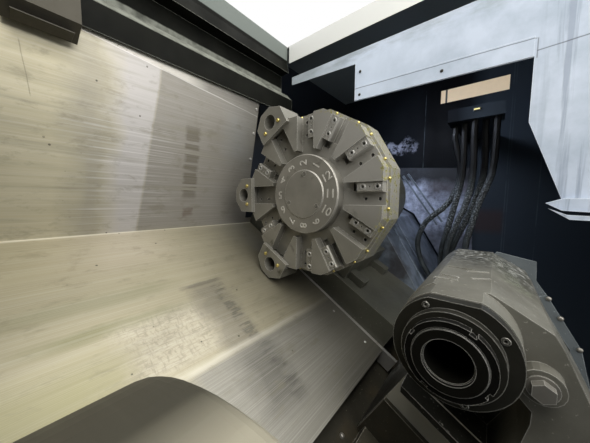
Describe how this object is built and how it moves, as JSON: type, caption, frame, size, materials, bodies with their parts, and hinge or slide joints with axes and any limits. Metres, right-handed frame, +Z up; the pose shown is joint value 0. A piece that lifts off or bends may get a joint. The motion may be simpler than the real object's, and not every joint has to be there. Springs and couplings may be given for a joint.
{
  "type": "cnc turning lathe",
  "caption": "Slant-bed turning lathe with a chuck, a disc turret with radial tool slots and boring bar holders, a tailstock, way covers and a sliding front door.",
  "frame": {"origin": "on the floor under the middle of the machine's bounding box", "axes": "+X along the spindle from headstock to tailstock, +Y from front to back, +Z up"},
  "size_m": [3.15, 1.9833, 2.061],
  "materials": {
    "casting": "dark painted casting, satin",
    "turret_steel": "dark ground steel, satin",
    "bright_steel": "ground",
    "stainless": "brushed, rubbed by chips",
    "chuck_steel": "dark, smooth turned",
    "black_oxide": "black oxide",
    "brass": "turned",
    "blue_grey_paint": "semi-gloss",
    "dark_paint": "semi-gloss",
    "header_paint": "semi-gloss, wet",
    "outer_paint": "fine texture",
    "trim_paint": "satin",
    "rubber": "matt",
    "glass": "clear laminated pane",
    "screen": "dark display",
    "red_plastic": "gloss",
    "green_plastic": "gloss",
    "motor_paint": "satin"
  },
  "bodies": {
    "machine": {"base_casting": "casting", "bed_casting": "casting", "headstock": "casting", "drive_belt": "rubber", "spindle_motor": "motor_paint", "right_cover_outer": "blue_grey_paint", "rear_header": "header_paint", "bulkhead": "blue_grey_paint", "front_panel": "outer_paint", "right_end_panel": "outer_paint", "headstock_cover": "outer_paint", "right_roof": "outer_paint", "rear_cover": "outer_paint", "headstock_wall": "dark_paint", "inner_end_wall": "dark_paint", "cabinet_shell": "outer_paint", "work_light": "dark_paint", "hydraulic_hose_1": "rubber", "hydraulic_hose_2": "rubber", "hydraulic_hose_3": "rubber", "hydraulic_hose_4": "rubber", "hydraulic_hose_5": "rubber"},
    "spindle": {"spindle": "bright_steel", "chuck_cylinder": "turret_steel", "chuck_body": "chuck_steel"},
    "jaw_1": {"master_jaw_1": "black_oxide"},
    "jaw_2": {"master_jaw_2": "black_oxide"},
    "jaw_3": {"master_jaw_3": "black_oxide"},
    "motor_rotor": {"motor_pulley": "bright_steel"},
    "screw": {"carriage_screw": "bright_steel"},
    "carriage": {"saddle": "casting", "wiper_plate": "bright_steel", "left_way_cover": "stainless", "right_cover_inner": "blue_grey_paint", "cross_motor": "motor_paint"},
    "cover_segment": {"right_cover_middle": "blue_grey_paint"},
    "cross_slide_body": {"cross_slide": "casting", "turret_housing": "casting"},
    "turret": {"turret_disc": "turret_steel", "turret_hub": "turret_steel", "boring_holder_1": "turret_steel", "boring_holder_2": "turret_steel", "boring_holder_3": "turret_steel"},
    "tailstock": {"tailstock_body": "casting", "tailstock_flange": "black_oxide", "quill_ring_nut": "black_oxide", "tailstock_bolt": "turret_steel", "tailstock_wiper": "bright_steel", "tailstock_end_plate": "blue_grey_paint"},
    "quill_body": {"quill": "bright_steel"},
    "door": {"sliding_door": "outer_paint", "door_window": "glass", "door_handle": "black_oxide"},
    "pendant": {"pendant_case": "trim_paint", "pendant_screen": "screen"},
    "stop_button": {"emergency_stop": "red_plastic"},
    "pulse_wheel": {"handwheel": "black_oxide"},
    "feed_knob": {"override_knob": "black_oxide"},
    "start_button": {"cycle_start_button": "green_plastic"},
    "cabinet_leaf": {"cabinet_door": "outer_paint"}
  },
  "joints": [
    {"name": "spindle_turn", "type": "hinge", "parent": "machine", "child": "spindle", "pos_m": [-0.405, -0.1905, 1.05], "axis": [1, 0, 0], "continuous": true},
    {"name": "jaw_1_slide", "type": "slide", "parent": "spindle", "child": "jaw_1", "axis": [0, 1, 0], "range_m": [-0.005, 0.005]},
    {"name": "jaw_2_slide", "type": "slide", "parent": "spindle", "child": "jaw_2", "axis": [0, -0.5, 0.866], "range_m": [-0.005, 0.005]},
    {"name": "jaw_3_slide", "type": "slide", "parent": "spindle", "child": "jaw_3", "axis": [0, -0.5, -0.866], "range_m": [-0.005, 0.005]},
    {"name": "motor_turn", "type": "hinge", "parent": "machine", "child": "motor_rotor", "pos_m": [-1.305, 0.1395, 0.27], "axis": [1, 0, 0], "continuous": true},
    {"name": "carriage_slide", "type": "slide", "parent": "machine", "child": "carriage", "axis": [1, 0, 0], "range_m": [-0.54, 0.15]},
    {"name": "carriage_screw_turn", "type": "hinge", "parent": "machine", "child": "screw", "pos_m": [-0.215, 0.37907, 0.88348], "axis": [1, 0, 0], "continuous": true},
    {"name": "right_cover_slide", "type": "slide", "parent": "machine", "child": "cover_segment", "axis": [1, 0, 0], "range_m": [-0.27, 0.075]},
    {"name": "cross_slide_move", "type": "slide", "parent": "carriage", "child": "cross_slide_body", "axis": [0, 0.866, 0.5], "range_m": [-0.055, 0.05]},
    {"name": "turret_index", "type": "hinge", "parent": "cross_slide_body", "child": "turret", "pos_m": [0.295, 0.23905, 1.298], "axis": [1, 0, 0], "continuous": true},
    {"name": "tailstock_slide", "type": "slide", "parent": "machine", "child": "tailstock", "axis": [1, 0, 0], "range_m": [-0.16, 0.2]},
    {"name": "quill_slide", "type": "slide", "parent": "tailstock", "child": "quill_body", "axis": [1, 0, 0], "range_m": [-0.12, 0]},
    {"name": "door_slide", "type": "slide", "parent": "machine", "child": "door", "axis": [1, 0, 0], "range_m": [0, 1.11]},
    {"name": "pendant_swing", "type": "hinge", "parent": "machine", "child": "pendant", "pos_m": [1.153, -0.9105, 1], "axis": [0, 0, 1], "range_deg": [0, 60]},
    {"name": "emergency_stop_press", "type": "slide", "parent": "pendant", "child": "stop_button", "axis": [0, 1, 0], "range_m": [0, 0.004]},
    {"name": "handwheel_turn", "type": "hinge", "parent": "pendant", "child": "pulse_wheel", "pos_m": [1.0116, -0.9655, 1.0728], "axis": [0, 1, 0], "continuous": true},
    {"name": "override_knob_turn", "type": "hinge", "parent": "pendant", "child": "feed_knob", "pos_m": [0.831, -0.9655, 1.0728], "axis": [0, 1, 0], "range_deg": [-150, 150]},
    {"name": "cycle_start_press", "type": "slide", "parent": "pendant", "child": "start_button", "axis": [0, 1, 0], "range_m": [0, 0.003], "stiffness_N_per_m": 300, "springref_m": -0.001},
    {"name": "cabinet_door_swing", "type": "hinge", "parent": "machine", "child": "cabinet_leaf", "pos_m": [-1.515, 0.9695, 0.2], "axis": [0, 0, 1], "range_deg": [0, 110]}
  ],
  "couplings": [
    {"joint": "jaw_2_slide", "follows": "jaw_1_slide", "ratio": 1},
    {"joint": "jaw_3_slide", "follows": "jaw_1_slide", "ratio": 1},
    {"joint": "motor_turn", "follows": "spindle_turn", "ratio": 1.7059},
    {"joint": "right_cover_slide", "follows": "carriage_slide", "ratio": 0.5},
    {"joint": "carriage_screw_turn", "follows": "carriage_slide", "rad_per_m": -628.32}
  ]
}
